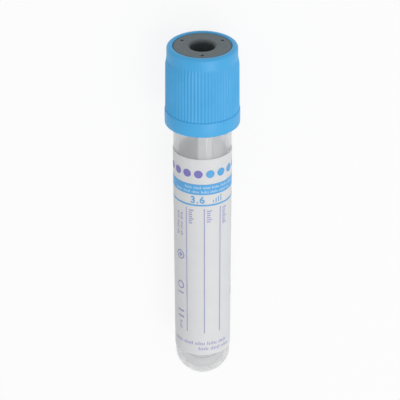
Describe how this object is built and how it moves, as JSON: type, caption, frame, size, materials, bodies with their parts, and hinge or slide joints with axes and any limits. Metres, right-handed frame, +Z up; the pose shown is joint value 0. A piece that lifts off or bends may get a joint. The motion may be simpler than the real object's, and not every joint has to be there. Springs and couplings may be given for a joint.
{
  "type": "blood collection tube",
  "caption": "Capped clear sample tube with a round closed end, a wrapped label, a ribbed push-on cap and a rubber stopper with a needle well; it lies on its side.",
  "frame": {"origin": "on the surface that the tube lies on, under the middle of its length", "axes": "+Y along the lying tube towards its cap, +Z up, out of the label's face, +X to the right of the label with the cap at the top; the tube's own axis rises 2.1 degrees from +Y towards the cap"},
  "size_m": [0.0164, 0.082, 0.0168],
  "materials": {
    "clear_plastic": "gloss",
    "label_film": "satin",
    "cap_plastic": "satin",
    "stopper_rubber": "matte",
    "clear_liquid": "gloss"
  },
  "bodies": {
    "tube": {"tube": "clear_plastic", "label": "label_film", "citrate_solution": "clear_liquid"},
    "closure": {"cap": "cap_plastic", "rubber_stopper": "stopper_rubber"}
  },
  "joints": [
    {"name": "closure_pull", "type": "slide", "parent": "tube", "child": "closure", "axis": [0, 0.9993, 0.0372], "range_m": [0, 0.025]}
  ]
}
